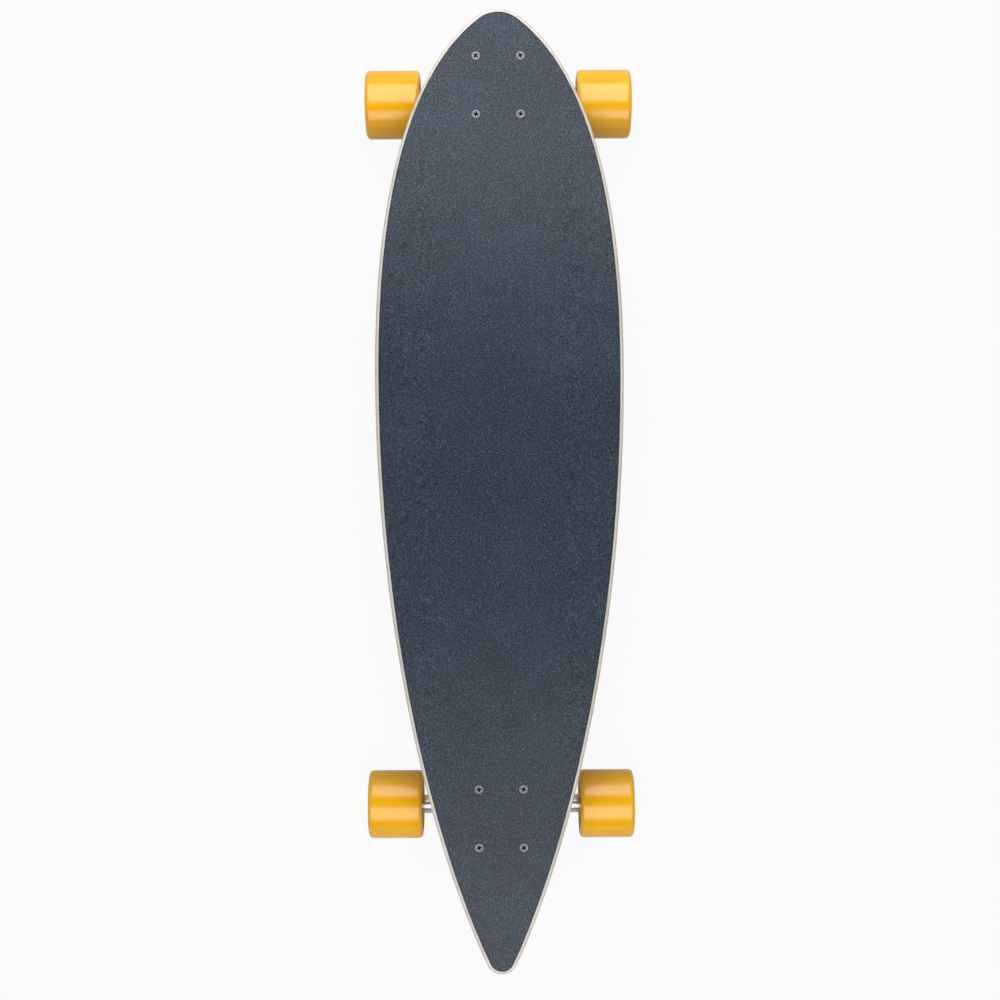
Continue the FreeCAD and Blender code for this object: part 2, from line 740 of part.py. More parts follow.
def on_axle(shape):
    """Takes a shape drawn along Z about the axle to the truck's frame, +Z to the left."""
    placed = along_y(shape)
    placed.translate(axle_centre)
    return placed


def both_sides(shapes):
    """The shapes and their mirror images as one group."""
    return Part.makeCompound(shapes + [mirrored(shape) for shape in shapes])


def make_axle():
    """Axle through the hanger, threaded at both ends."""
    thread = AXLE_NUT_HEIGHT + AXLE_END
    arm = threaded_rod(AXLE_DIAMETER / 2, 0, axle_half_length, thread, AXLE_THREAD_PITCH)
    arm = on_axle(arm)
    return arm.fuse(mirrored(arm)).removeSplitter()


def make_axle_nuts():
    """The two axle lock nuts, collars outward."""
    nut = lock_nut(AXLE_NUT_FLATS, AXLE_NUT_HEIGHT, AXLE_DIAMETER / 2 + SLIP_FIT)
    return both_sides([on_axle(moved(nut, z=axle_nut_start))])


def make_speed_washers():
    """Four thin washers, one each side of each wheel's pair of bearings."""
    bore = AXLE_DIAMETER / 2 + RUNNING_FIT
    washers = []
    for start in (HANGER_WIDTH / 2, outer_bearing_end):
        washer = tube(SPEED_WASHER_DIAMETER / 2, bore, start, start + SPEED_WASHER_THICKNESS)
        washers.append(on_axle(washer))
    return both_sides(washers)


def bearing_starts():
    """Where the two bearings of a wheel start, from the middle of the board."""
    return [inner_bearing_start, inner_bearing_start + BEARING_WIDTH + BEARING_SPACER_LENGTH]


bearing_bore_radius = AXLE_DIAMETER / 2 + SLIP_FIT
inner_ring_radius = bearing_bore_radius + INNER_RING_WALL
outer_ring_bore_radius = BEARING_DIAMETER / 2 - OUTER_RING_WALL
ball_pitch_radius = (inner_ring_radius + outer_ring_bore_radius) / 2
shield_radius = outer_ring_bore_radius + SHIELD_SEAT


def ball_race():
    """Ring-shaped groove that the balls run in, with the bearing's start at level zero."""
    return Part.makeTorus(ball_pitch_radius, BALL_DIAMETER / 2 + RUNNING_FIT, Vector(0, 0, BEARING_WIDTH / 2))


def inner_ring():
    """Inner bearing ring that starts at level zero."""
    return tube(inner_ring_radius, bearing_bore_radius, 0, BEARING_WIDTH).cut(ball_race())


def outer_ring():
    """Outer bearing ring that starts at level zero, with a step for a shield at each side."""
    ring = tube(BEARING_DIAMETER / 2, outer_ring_bore_radius, 0, BEARING_WIDTH)
    step = SHIELD_SINK + SHIELD_THICKNESS
    steps = [
        rod(shield_radius, 0, step),
        rod(shield_radius, BEARING_WIDTH - step, BEARING_WIDTH),
    ]
    return ring.cut([ball_race()] + steps)


def shields():
    """The two dust shields of a bearing that starts at level zero."""
    bore = inner_ring_radius + RUNNING_FIT * 3
    edge = shield_radius - SLIP_FIT
    low = SHIELD_SINK
    high = BEARING_WIDTH - SHIELD_SINK - SHIELD_THICKNESS
    return [tube(edge, bore, start, start + SHIELD_THICKNESS) for start in (low, high)]


def ball_places():
    """Ball centres of a bearing that starts at level zero."""
    turns = [2 * math.pi * ball / BALL_COUNT for ball in range(BALL_COUNT)]
    return [
        Vector(ball_pitch_radius * math.cos(turn), ball_pitch_radius * math.sin(turn), BEARING_WIDTH / 2)
        for turn in turns
    ]


def balls():
    """The balls of a bearing that starts at level zero."""
    return [Part.makeSphere(BALL_DIAMETER / 2, place) for place in ball_places()]


def cage():
    """Cage with a round pocket for each ball, in a bearing that starts at level zero."""
    pocket_radius = BALL_DIAMETER / 2 + RUNNING_FIT
    half = pocket_radius + CAGE_SIDE
    middle = BEARING_WIDTH / 2
    inside = ball_pitch_radius - CAGE_WALL / 2
    band = tube(inside + CAGE_WALL, inside, middle - half, middle + half)
    centre = Vector(0, 0, middle)
    pockets = [
        Part.makeCylinder(pocket_radius, BEARING_DIAMETER / 2, centre, place - centre)
        for place in ball_places()
    ]
    return band.cut(pockets)


def bearing_group(shapes):
    """Shapes of one bearing, repeated in both bearings of the left wheel, in the truck's frame."""
    return [on_axle(moved(shape, z=start)) for start in bearing_starts() for shape in shapes]


def make_bearing_spacers():
    """Tubes that hold the inner rings of each wheel's two bearings apart."""
    radius = bearing_bore_radius + BEARING_SPACER_WALL
    start = inner_bearing_start + BEARING_WIDTH
    return both_sides([on_axle(tube(radius, bearing_bore_radius, start, start + BEARING_SPACER_LENGTH))])


def make_core():
    """Wheel core with a seat for each bearing against its inner shoulder."""
    half = BEARING_SPACER_LENGTH / 2 + BEARING_WIDTH + CORE_LIP
    shoulder = BEARING_SPACER_LENGTH / 2
    seat_radius = BEARING_DIAMETER / 2 + SLIP_FIT
    profile = [
        (CORE_DIAMETER / 2, -half),
        (CORE_DIAMETER / 2, half),
        (seat_radius, half),
        (seat_radius, shoulder),
        (seat_radius - CORE_SHOULDER, shoulder),
        (seat_radius - CORE_SHOULDER, -shoulder),
        (seat_radius, -shoulder),
        (seat_radius, -half),
    ]
    return on_axle(moved(turned(profile), z=wheel_station))


def make_tyre():
    """Urethane tyre cast round the core, with rounded lips and dished sides."""
    radius = WHEEL_DIAMETER / 2
    half = WHEEL_WIDTH / 2
    core_half = BEARING_SPACER_LENGTH / 2 + BEARING_WIDTH + CORE_LIP
    dish_radius = radius - WHEEL_LIP_ROUNDING - WHEEL_LIP_FLAT
    core_radius = CORE_DIAMETER / 2
    side = [(core_radius, core_half), (core_radius + CORE_STEP, core_half), (dish_radius, half), (radius, half)]
    profile = side + [(corner_radius, -level) for corner_radius, level in reversed(side)]
    tyre = turned(profile)
    lips = [
        edge
        for edge in tyre.Edges
        if isinstance(edge.Curve, Part.Circle) and abs(edge.Curve.Radius - radius) < SLIP_FIT
    ]
    tyre = tyre.makeFillet(WHEEL_LIP_ROUNDING, lips)
    return on_axle(moved(tyre, z=wheel_station))


def board_nodes():
    """Deck, grip tape and mounting screws."""
    nodes = {"deck": make_deck(), "grip_tape": make_grip_tape()}
    for truck in TRUCKS:
        nodes[truck + "_mounting_screws"] = make_screws(truck)
    return nodes


def truck_nodes():
    """Pieces of one truck, in its own frame."""
    return {
        "mounting_nuts": make_mounting_nuts(),
        "riser_pad": make_riser_pad(),
        "baseplate": make_baseplate(),
        "pivot_cup": make_pivot_cup(),
        "kingpin": make_kingpin(),
        "kingpin_nut": make_kingpin_nut(),
        "cup_washers": make_cup_washers(),
        "boardside_bushing": make_boardside_bushing(),
        "roadside_bushing": make_roadside_bushing(),
        "hanger": make_hanger(),
        "axle": make_axle(),
        "axle_nuts": make_axle_nuts(),
        "speed_washers": make_speed_washers(),
        "bearing_inner_rings": both_sides(bearing_group([inner_ring()])),
        "bearing_spacers": make_bearing_spacers(),
    }


def wheel_nodes():
    """Pieces of the wheel on the truck's +Y side, in the truck's frame."""
    return {
        "tyre": make_tyre(),
        "core": make_core(),
        "bearing_outer_rings": Part.makeCompound(bearing_group([outer_ring()])),
        "bearing_shields": Part.makeCompound(bearing_group(shields())),
        "bearing_cages": Part.makeCompound(bearing_group([cage()])),
        "bearing_balls": Part.makeCompound(bearing_group(balls())),
    }


def all_nodes():
    """Every piece of the board by name, in place."""
    nodes = board_nodes()
    truck_pieces = truck_nodes()
    wheel_pieces = wheel_nodes()
    for truck, (_, turn) in TRUCKS.items():
        for name, shape in truck_pieces.items():
            nodes[truck + "_" + name] = on_board(shape, truck)
        near_side, far_side = ("left", "right") if turn == FRONT_TRUCK_ANGLE else ("right", "left")
        for name, shape in wheel_pieces.items():
            nodes[truck + "_" + near_side + "_" + name] = on_board(shape, truck)
            nodes[truck + "_" + far_side + "_" + name] = on_board(mirrored(shape), truck)
    return nodes


os.makedirs("parts", exist_ok=True)
for node_name, node_shape in all_nodes().items():
    node_shape.exportStep("parts/" + node_name + ".step")
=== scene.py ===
import json
import math

import bmesh
import bpy
from mathutils import Matrix, Vector


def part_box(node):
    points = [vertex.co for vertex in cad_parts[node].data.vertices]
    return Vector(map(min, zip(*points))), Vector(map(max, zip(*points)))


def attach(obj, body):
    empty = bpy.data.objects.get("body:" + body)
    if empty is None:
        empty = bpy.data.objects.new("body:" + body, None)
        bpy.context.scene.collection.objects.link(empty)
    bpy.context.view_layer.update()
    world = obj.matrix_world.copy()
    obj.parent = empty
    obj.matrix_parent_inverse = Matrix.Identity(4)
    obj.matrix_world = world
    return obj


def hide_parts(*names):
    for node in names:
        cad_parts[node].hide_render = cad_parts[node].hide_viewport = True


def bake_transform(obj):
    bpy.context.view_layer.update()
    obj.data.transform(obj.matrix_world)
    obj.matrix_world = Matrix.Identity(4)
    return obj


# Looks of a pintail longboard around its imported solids. Metres and degrees. +X points to the nose, +Y to the
# left and +Z up, and the ground is at level zero.
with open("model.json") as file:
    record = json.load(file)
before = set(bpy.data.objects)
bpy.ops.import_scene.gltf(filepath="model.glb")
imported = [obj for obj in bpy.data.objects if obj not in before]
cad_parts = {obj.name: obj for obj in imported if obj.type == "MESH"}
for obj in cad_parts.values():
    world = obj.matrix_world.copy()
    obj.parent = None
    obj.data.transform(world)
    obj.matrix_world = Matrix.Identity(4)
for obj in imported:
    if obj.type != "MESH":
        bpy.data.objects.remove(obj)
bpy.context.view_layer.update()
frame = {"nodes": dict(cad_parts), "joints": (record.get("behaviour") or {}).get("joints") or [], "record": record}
nodes = frame["nodes"]

MM = 0.001
TRUCKS = ("front", "rear")
WHITE = (1.0, 1.0, 1.0, 1.0)
TURNED_OVER = Matrix.Rotation(math.pi, 4, "X")

# Camera: straight above the deck, nose at the top of the picture; the lens is in millimetres
CAMERA_HEIGHT = 1.6
CAMERA_STATION = -0.0077
CAMERA_ROLL = 0.26
CAMERA_LENS = 57.87

# Soft boxes that lean over the nose and the tail, each from one edge to another, given as station and level
NOSE_BOX = {"edges": ((0.335, 0.91), (0.90, 0.35)), "length": 0.60, "radiance": 3.65}
TAIL_BOX = {"edges": ((-0.94, 0.72), (-0.32, 1.083)), "length": 1.20, "radiance": 3.05}

# Room, where level 1 is white: a dim ceiling, walls as they light the object and as gloss mirrors them, and
# how far up a direction points where walls turn into ceiling
CEILING_LEVEL = 0.05
HORIZON_LEVEL = 0.5
MIRRORED_HORIZON_LEVEL = 0.8
WALL_SLOPE = (0.08, 0.42)

# Floor: the share of the white behind it that shows through near the object, the distances over which this
# rises to all of it, and the share of white that gloss mirrors
FLOOR_SIZE = 30.0
FLOOR_COLOUR = (0.56, 0.56, 0.56)
FLOOR_CLEAR_SHARE = 0.93
FLOOR_FADE = (0.9, 3.0)
FLOOR_MIRRORED_SHARE = 0.2

# Finishes: where most of a smooth noise lies, and most of the sum of two. Below, counts are per metre, a
# relief is its strength and depth, a roughness is its values at the ends of such a range, and marks have a
# colour and the share that it takes.
NOISE_RANGE = (0.3, 0.7)
NOISE_SUM_RANGE = (0.7, 1.3)

# Grip tape: grit, clouds and crystals, the tones from hollows to raised grit, and the range of a crystal's random
# number over which it shows a painted glint
GRIT_COUNT = 760.0
GRIT_RELIEF = (0.25, 0.3 * MM)
GRIP_CLOUD_COUNT = 14.0
GRIP_CLOUD_SHARE = 0.08
CRYSTAL_COUNT = 1100.0
CRYSTAL_RELIEF = (0.35, 0.2 * MM)
GLINT_CRYSTAL_RANGE = (0.84, 0.95)
GRIP_ROUGHNESS = (0.34, 0.22)
GRIT_TONES = (
    (0.37, (0.008, 0.0125, 0.0195)),
    (0.5, (0.029, 0.0435, 0.062)),
    (0.63, (0.086, 0.109, 0.141)),
)
# Painted glints: bright specks laid into the colour of some crystals
PAINTED_CRYSTAL_GLINTS = {"colour": (0.19, 0.21, 0.25), "share": 0.45}
# Darker band along the sheet's sharp edges, along its rim and round its screw holes, where it is painted shade in
# their dimples
DARK_EDGE_BAND = {"colour": (0.020, 0.015, 0.012), "share": 0.75}
DARK_EDGE_WIDTH = 2.2 * MM
EDGE_FACING = (0.998, 0.9)

# Deck section, as pressed: a flat middle between rails that bend up on an arc
FLAT_HALF_WIDTH = 0.05
RAIL_RISE = 0.005
PLY_COUNT = 7

# Maple: counts along, across and through the board of its grain, bands, pores and growth rings
GRAIN_COUNTS = (5.0, 150.0, 150.0)
BAND_COUNTS = (1.6, 7.0, 7.0)
PORE_COUNTS = (14.0, 900.0, 900.0)
RING_COUNTS = (1.1, 9.0, 9.0)
GRAIN_RELIEF = (0.12, 0.2 * MM)
GLUE_RELIEF = (-0.3, 0.1 * MM)
MAPLE_ROUGHNESS = (0.46, 0.34)

# Maple: how far the bands' wave turns and how many rings there are over the range of their noise, where in a
# ring the late wood darkens and ends, and what each takes in the figure
BAND_PHASE = 46.0
RING_LEVELS = 22.0
LATE_WOOD_RISE = (0.45, 0.93)
LATE_WOOD_END = (1.0, 0.94)
FACE_FIGURE = {"grain": 0.75, "bands": 0.06}
VENEER_FIGURE = {"grain": 0.6, "late_wood": 0.10}

# Maple: the pale upper face, the warm veneer of the lower face, what marks faces and edge, and the ranges of
# the noise over which flecks and pores show
MAPLE_TONES = (
    (0.2, (0.58, 0.505, 0.41)),
    (0.42, (0.71, 0.685, 0.62)),
    (0.62, (0.76, 0.75, 0.71)),
)
VENEER_TONES = (
    (0.12, (0.55, 0.37, 0.21)),
    (0.30, (0.70, 0.52, 0.33)),
    (0.46, (0.77, 0.61, 0.42)),
)
FLECKS = {"colour": (0.45, 0.30, 0.17), "share": 0.3}
FLECK_RANGE = (0.63, 0.75)
PORES = {"colour": (0.46, 0.29, 0.15), "share": 0.35}
PORE_RANGE = (0.56, 0.72)
CUT_EDGE = {"colour": (0.74, 0.60, 0.43), "share": 0.45}
CROSS_PLIES = {"colour": (0.56, 0.42, 0.28), "share": 0.3}
GLUE_LINES = {"colour": (0.36, 0.25, 0.15), "share": 0.6}

# Laminate, in plies: the fade from a face to the cut edge, the step between plies, a glue line's fade towards
# its middle, and the veneer's fade towards the lower face
CUT_FADE = (0.4, 0.6)
PLY_STEP = (0.46, 0.54)
GLUE_FADE = (0.07, 0.035)
VENEER_FADE = (0.3, 0.1)

# Wheel urethane: clouds, and turning lines along the axle
WHEEL_CLOUD_COUNT = 38.0
TURNING_COUNTS = (8.0, 2600.0, 8.0)
TURNING_RELIEF = (0.05, 0.05 * MM)
WHEEL_TONES = ((0.97, 0.465, 0.001), (1.0, 0.51, 0.002))
WHEEL_ROUGHNESS = (0.2, 0.26)
WHEEL_SCATTER = 5 * MM

# Metals: darker and lighter tone, roughness, grains per metre and the strength of their relief, and for the
# axle how its grain is drawn out
MOTTLE_COUNT = 90.0
METAL_RELIEF_DEPTH = 0.12 * MM
METALS = {
    "zinc_steel": {
        "tones": ((0.50, 0.50, 0.55), (0.66, 0.66, 0.70)),
        "roughness": (0.30, 0.46),
        "grain": (900.0, 0.06),
    },
    "screw_steel": {
        "tones": ((0.20, 0.218, 0.243), (0.275, 0.294, 0.32)),
        "roughness": (0.56, 0.68),
        "grain": (900.0, 0.06),
    },
    # Near-black steel for the screws' cross recesses: painted shade inside them
    "painted_recess_shade": {
        "tones": ((0.004, 0.004, 0.005), (0.012, 0.012, 0.014)),
        "roughness": (0.5, 0.7),
        "grain": (900.0, 0.1),
    },
    "axle_steel": {
        "tones": ((0.52, 0.52, 0.54), (0.62, 0.62, 0.63)),
        "roughness": (0.18, 0.30),
        "grain": (40.0, 0.05),
        "stretch": (30.0, 1.0, 30.0),
    },
    "cast_aluminium": {
        "tones": ((0.65, 0.645, 0.635), (0.71, 0.705, 0.695)),
        "roughness": (0.27, 0.35),
        "grain": (420.0, 0.014),
    },
    "base_aluminium": {
        "tones": ((0.60, 0.60, 0.60), (0.70, 0.70, 0.69)),
        "roughness": (0.34, 0.50),
        "grain": (700.0, 0.22),
    },
    "bearing_steel": {
        "tones": ((0.66, 0.66, 0.68), (0.74, 0.74, 0.75)),
        "roughness": (0.08, 0.16),
        "grain": (300.0, 0.02),
    },
    "shield_steel": {
        "tones": ((0.42, 0.42, 0.44), (0.52, 0.52, 0.54)),
        "roughness": (0.22, 0.34),
        "grain": (700.0, 0.06),
    },
}

# Moulded rubber, urethane and nylon, given in the same way
MOULDED_CLOUD_COUNT = 60.0
MOULDED_RELIEF_DEPTH = 0.15 * MM
MOULDINGS = {
    "riser_rubber": {
        "tones": ((0.016, 0.016, 0.016), (0.03, 0.03, 0.03)),
        "roughness": (0.6, 0.8),
        "grain": (1500.0, 0.25),
    },
    "cup_urethane": {
        "tones": ((0.02, 0.02, 0.022), (0.035, 0.035, 0.04)),
        "roughness": (0.45, 0.6),
        "grain": (900.0, 0.1),
    },
    "bushing_urethane": {
        "tones": ((0.018, 0.018, 0.02), (0.035, 0.035, 0.038)),
        "roughness": (0.34, 0.5),
        "grain": (500.0, 0.08),
    },
    "core_nylon": {
        "tones": ((0.68, 0.64, 0.54), (0.76, 0.72, 0.62)),
        "roughness": (0.36, 0.5),
        "grain": (700.0, 0.1),
    },
}

# Solids that are duller than the rest of their slot, by the end of their names
DULLER_FINISHES = {"baseplate": "base_aluminium", "mounting_screws": "screw_steel"}

# Castings: the solids' sharp creases are blended as a mould leaves them
CAST_VOXEL = 0.75 * MM
CAST_SMOOTHING = 0.5
CAST_PASSES = 16

# Bushings: radius at the board's end and at the hanger's, how far the wall draws in between them (it bulges
# where this is negative), and whether the hanger's end is the upper one
BUSHINGS = {
    "boardside_bushing": {"end_radii": (13.5 * MM, 13.5 * MM), "waist": 1.2 * MM, "hanger_above": False},
    "roadside_bushing": {"end_radii": (10.0 * MM, 13.5 * MM), "waist": -0.4 * MM, "hanger_above": True},
}
BUSHING_BORE = 4.95 * MM
BUSHING_FLARED_BORE = 6.6 * MM
BUSHING_SEGMENTS = 96
BUSHING_WALL_STEPS = 10

# Bushings: rounding of their corners, at most a share of the shorter side, and the steps of each corner's curve
CORNER_REACH = 0.9 * MM
CORNER_SHARE = 0.4
CORNER_STEPS = 4

# Lock nuts: across flats, the bolt through them, and the share of the flats that the round collar takes
MOUNTING_NUT = {"flats": 9.5 * MM, "bolt": 4.83 * MM}
KINGPIN_NUT = {"flats": 14.3 * MM, "bolt": 9.5 * MM}
AXLE_NUT = {"flats": 12.7 * MM, "bolt": 8.0 * MM}
NUT_COLLAR_SHARE = 0.9
RING_SEGMENTS = 64
RING_PROUD = 0.12 * MM
RING_DEPTH = 0.6 * MM

# Cross recess of a mounting screw, measured from the head's top
RECESS_RADIUS = 2.6 * MM
RECESS_TOP = 0.05 * MM
RECESS_DEPTH = 2.1 * MM
SCREW_HEAD_RADIUS = 3.9 * MM


class Nodes:
    """Short calls that add shader nodes to one tree."""

    def __init__(self, tree):
        self.tree = tree

    def add(self, kind, inputs=None, **settings):
        """A new node with its settings, and with each named input linked or set."""
        node = self.tree.nodes.new("ShaderNode" + kind)
        for name, value in settings.items():
            setattr(node, name, value)
        for name, value in (inputs or {}).items():
            self.feed(node.inputs[name], value)
        return node

    def feed(self, socket, value):
        """Links an output to a socket, or sets the socket's own value."""
        if isinstance(value, bpy.types.NodeSocket):
            self.tree.links.new(value, socket)
        else:
            socket.default_value = value

    def place(self):
        """The point's place in the part's frame at rest."""
        return self.add("TexCoord").outputs["Object"]

    def stretched(self, vector, scale):
        """The place with each axis multiplied."""
        return self.add("VectorMath", {0: vector, 1: scale}, operation="MULTIPLY").outputs[0]

    def math(self, operation, first, second=0.0):
        """One arithmetic step."""
        return self.add("Math", {0: first, 1: second}, operation=operation).outputs[0]

    def noise(self, vector, scale=1.0, detail=2.0, roughness=0.5):
        """Smooth noise between 0 and 1."""
        inputs = {"Vector": vector, "Scale": scale, "Detail": detail, "Roughness": roughness}
        return self.add("TexNoise", inputs).outputs["Fac"]

    def cells(self, vector, scale, output="Distance"):
        """Cell pattern: the distance to the nearest grain, or that grain's own random colour."""
        return self.add("TexVoronoi", {"Vector": vector, "Scale": scale}).outputs[output]

    def between(self, value, low, high, start=0.0, end=1.0):
        """Maps low..high to start..end, smoothly and within those limits."""
        inputs = {"Value": value, "From Min": low, "From Max": high, "To Min": start, "To Max": end}
        return self.add("MapRange", inputs, interpolation_type="SMOOTHSTEP").outputs[0]

    def ramp(self, factor, stops):
        """Colour ramp through (position, colour) stops."""
        node = self.add("ValToRGB", {"Fac": factor})
        elements = node.color_ramp.elements
        while len(elements) < len(stops):
            elements.new(1.0)
        for element, (position, colour) in zip(elements, stops):
            element.position = position
            element.color = (*colour, 1.0)
        return node.outputs["Color"]

    def toned(self, noise, tones):
        """Colour from a darker to a lighter tone over a noise's usual range."""
        return self.ramp(noise, tuple(zip(NOISE_RANGE, tones)))

    def mix(self, factor, first, second):
        """Mix of two colours."""
        node = self.add("Mix", data_type="RGBA")
        self.feed(node.inputs["Factor"], factor)
        for socket, value in ((node.inputs[6], first), (node.inputs[7], second)):
            self.feed(socket, (*value, 1.0) if isinstance(value, tuple) else value)
        return node.outputs[2]

    def marked(self, colour, mask, marks):
        """The colour with marks laid over it by their share, where the mask is 1."""
        return self.mix(self.math("MULTIPLY", mask, marks["share"]), colour, marks["colour"])

    def bump(self, height, strength, distance, under=None):
        """Surface relief, over another relief if one is given."""
        inputs = {"Height": height, "Strength": strength, "Distance": distance}
        if under is not None:
            inputs["Normal"] = under
        return self.add("Bump", inputs).outputs[0]


def new_material(name):
    """A material with one principled shader: the material, its nodes and the shader."""
    made = bpy.data.materials.new(name)
    made.use_nodes = True
    made.node_tree.nodes.clear()
    kit = Nodes(made.node_tree)
    shader = kit.add("BsdfPrincipled")
    kit.add("OutputMaterial", {"Surface": shader.outputs[0]})
    return made, kit, shader


def set_shader(kit, shader, **values):
    """Sets or links the shader's sockets; an underscore in a name stands for a space."""
    for name, value in values.items():
        kit.feed(shader.inputs[name.replace("_", " ")], value)


def edge_mask(kit, radius):
    """Near 1 beside a sharp edge of the solid and 0 elsewhere."""
    soft = kit.add("Bevel", {"Radius": radius}, samples=6).outputs[0]
    true = kit.add("NewGeometry").outputs["Normal"]
    facing = kit.add("VectorMath", {0: soft, 1: true}, operation="DOT_PRODUCT").outputs["Value"]
    return kit.between(facing, *EDGE_FACING)


def grip_material():
    """Black grip tape: bluish grit with bright crystal specks that are painted glints, and a darker band along its
    edges that is painted shade round the screw holes.
    """
    made, kit, shader = new_material("grip")
    place = kit.place()
    grit = kit.noise(place, GRIT_COUNT, detail=3.0, roughness=0.75)
    cloud = kit.noise(place, GRIP_CLOUD_COUNT, detail=3.0, roughness=0.6)
    grit_part = kit.math("MULTIPLY", grit, 1.0 - GRIP_CLOUD_SHARE)
    cloud_part = kit.math("MULTIPLY", cloud, GRIP_CLOUD_SHARE)
    base = kit.ramp(kit.math("ADD", grit_part, cloud_part), GRIT_TONES)
    # Painted glints on some crystals
    glint_mask = kit.between(kit.cells(place, CRYSTAL_COUNT, "Color"), *GLINT_CRYSTAL_RANGE)
    glinting = kit.marked(base, glint_mask, PAINTED_CRYSTAL_GLINTS)
    # Darker band along the edges: painted shade round the screw holes
    edge_darkened = kit.marked(glinting, edge_mask(kit, DARK_EDGE_WIDTH), DARK_EDGE_BAND)
    crystals = kit.cells(place, CRYSTAL_COUNT)
    relief = kit.bump(crystals, *CRYSTAL_RELIEF, kit.bump(grit, *GRIT_RELIEF))
    roughness = kit.between(grit, *NOISE_RANGE, *GRIP_ROUGHNESS)
    set_shader(
        kit, shader, Base_Color=edge_darkened, Roughness=roughness, Normal=relief, Specular_IOR_Level=0.165,
        Specular_Tint=(1.0, 0.95, 1.0, 1.0),
    )
    return made


def ply_depth(kit, place):
    """Depth below the deck's upper face, square to the bent plies and counted in plies."""
    deck_low, deck_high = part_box("deck")
    deck_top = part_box("grip_tape")[0].z
    rail_width = deck_high.y - FLAT_HALF_WIDTH
    bend_radius = (rail_width ** 2 + RAIL_RISE ** 2) / (2 * RAIL_RISE)
    axes = kit.add("SeparateXYZ", {0: place}).outputs
    beyond_flat = kit.math("SUBTRACT", kit.math("ABSOLUTE", axes["Y"]), FLAT_HALF_WIDTH)
    across = kit.math("MAXIMUM", beyond_flat, 0.0)
    below_centre = kit.math("SUBTRACT", deck_top + bend_radius, axes["Z"])
    arm = kit.add("CombineXYZ", {"Y": across, "Z": below_centre}).outputs[0]
    reach = kit.add("VectorMath", {0: arm}, operation="LENGTH").outputs["Value"]
    depth = kit.math("SUBTRACT", reach, bend_radius)
    return kit.math("DIVIDE", depth, (deck_top - deck_low.z) / PLY_COUNT)


def face_colour(kit, place, grain, pores):
    """Pale maple with slow bands and short dark flecks."""
    drift = kit.noise(kit.stretched(place, BAND_COUNTS))
    bands = kit.math("SINE", kit.math("MULTIPLY", drift, BAND_PHASE))
    grain_part = kit.math("MULTIPLY", grain, FACE_FIGURE["grain"])
    band_part = kit.math("MULTIPLY", bands, FACE_FIGURE["bands"])
    wood = kit.ramp(kit.math("ADD", grain_part, band_part), MAPLE_TONES)
    return kit.marked(wood, kit.between(pores, *FLECK_RANGE), FLECKS)


def veneer_colour(kit, place, grain, pores):
    """Lacquered lower face: warm maple with growth rings in long pointed arches and fine pores."""
    drift = kit.noise(kit.stretched(place, RING_COUNTS), detail=1.0)
    ring = kit.math("FRACT", kit.math("MULTIPLY", drift, RING_LEVELS))
    late_wood = kit.math("MULTIPLY", kit.between(ring, *LATE_WOOD_RISE), kit.between(ring, *LATE_WOOD_END))
    grain_part = kit.math("MULTIPLY", grain, VENEER_FIGURE["grain"])
    ring_part = kit.math("MULTIPLY", late_wood, VENEER_FIGURE["late_wood"])
    wood = kit.ramp(kit.math("SUBTRACT", grain_part, ring_part), VENEER_TONES)
    return kit.marked(wood, kit.between(pores, *PORE_RANGE), PORES)


def edge_masks(kit, ply):
    """Where the cut edge shows, its crosswise plies, and the glue lines between its plies."""
    fade_start, fade_end = CUT_FADE
    below_top = kit.between(ply, fade_start, fade_end)
    above_bottom = kit.between(ply, PLY_COUNT - fade_start, PLY_COUNT - fade_end)
    cut = kit.math("MULTIPLY", below_top, above_bottom)
    every_other = kit.math("PINGPONG", kit.math("SUBTRACT", ply, 0.5), 1.0)
    crosswise = kit.math("MULTIPLY", kit.between(every_other, *PLY_STEP), cut)
    from_line = kit.math("PINGPONG", ply, 0.5)
    glue = kit.math("MULTIPLY", kit.between(from_line, *GLUE_FADE), cut)
    return cut, crosswise, glue


def maple_material():
    """Lacquered maple laminate: long grain with flecks on the faces, plies and glue lines on the edge."""
    made, kit, shader = new_material("maple")
    place = kit.place()
    grain = kit.noise(kit.stretched(place, GRAIN_COUNTS), detail=6.0, roughness=0.6)
    pores = kit.noise(kit.stretched(place, PORE_COUNTS), roughness=0.6)
    ply = ply_depth(kit, place)
    cut, crosswise, glue = edge_masks(kit, ply)
    edged = kit.marked(face_colour(kit, place, grain, pores), cut, CUT_EDGE)
    glued = kit.marked(kit.marked(edged, crosswise, CROSS_PLIES), glue, GLUE_LINES)
    underside = kit.between(ply, *(PLY_COUNT - height for height in VENEER_FADE))
    faced = kit.mix(underside, glued, veneer_colour(kit, place, grain, pores))
    relief = kit.bump(grain, *GRAIN_RELIEF, kit.bump(glue, *GLUE_RELIEF))
    roughness = kit.between(grain, *NOISE_RANGE, *MAPLE_ROUGHNESS)
    set_shader(
        kit, shader, Base_Color=faced, Roughness=roughness, Normal=relief, Coat_Weight=0.2,
        Coat_Roughness=0.22,
    )
    return made


def metal_material(name, finish):
    """Bare or plated metal with a mottled tone, uneven gloss and fine relief."""
    made, kit, shader = new_material(name)
    place = kit.place()
    if "stretch" in finish:
        place = kit.stretched(place, finish["stretch"])
    grain_count, relief_strength = finish["grain"]
    mottle = kit.noise(place, MOTTLE_COUNT, detail=4.0, roughness=0.6)
    grain = kit.noise(place, grain_count, detail=3.0, roughness=0.65)
    colour = kit.toned(mottle, finish["tones"])
    roughness = kit.between(kit.math("ADD", mottle, grain), *NOISE_SUM_RANGE, *finish["roughness"])
    relief = kit.bump(grain, relief_strength, METAL_RELIEF_DEPTH)
    set_shader(kit, shader, Base_Color=colour, Metallic=1.0, Roughness=roughness, Normal=relief)
    return made


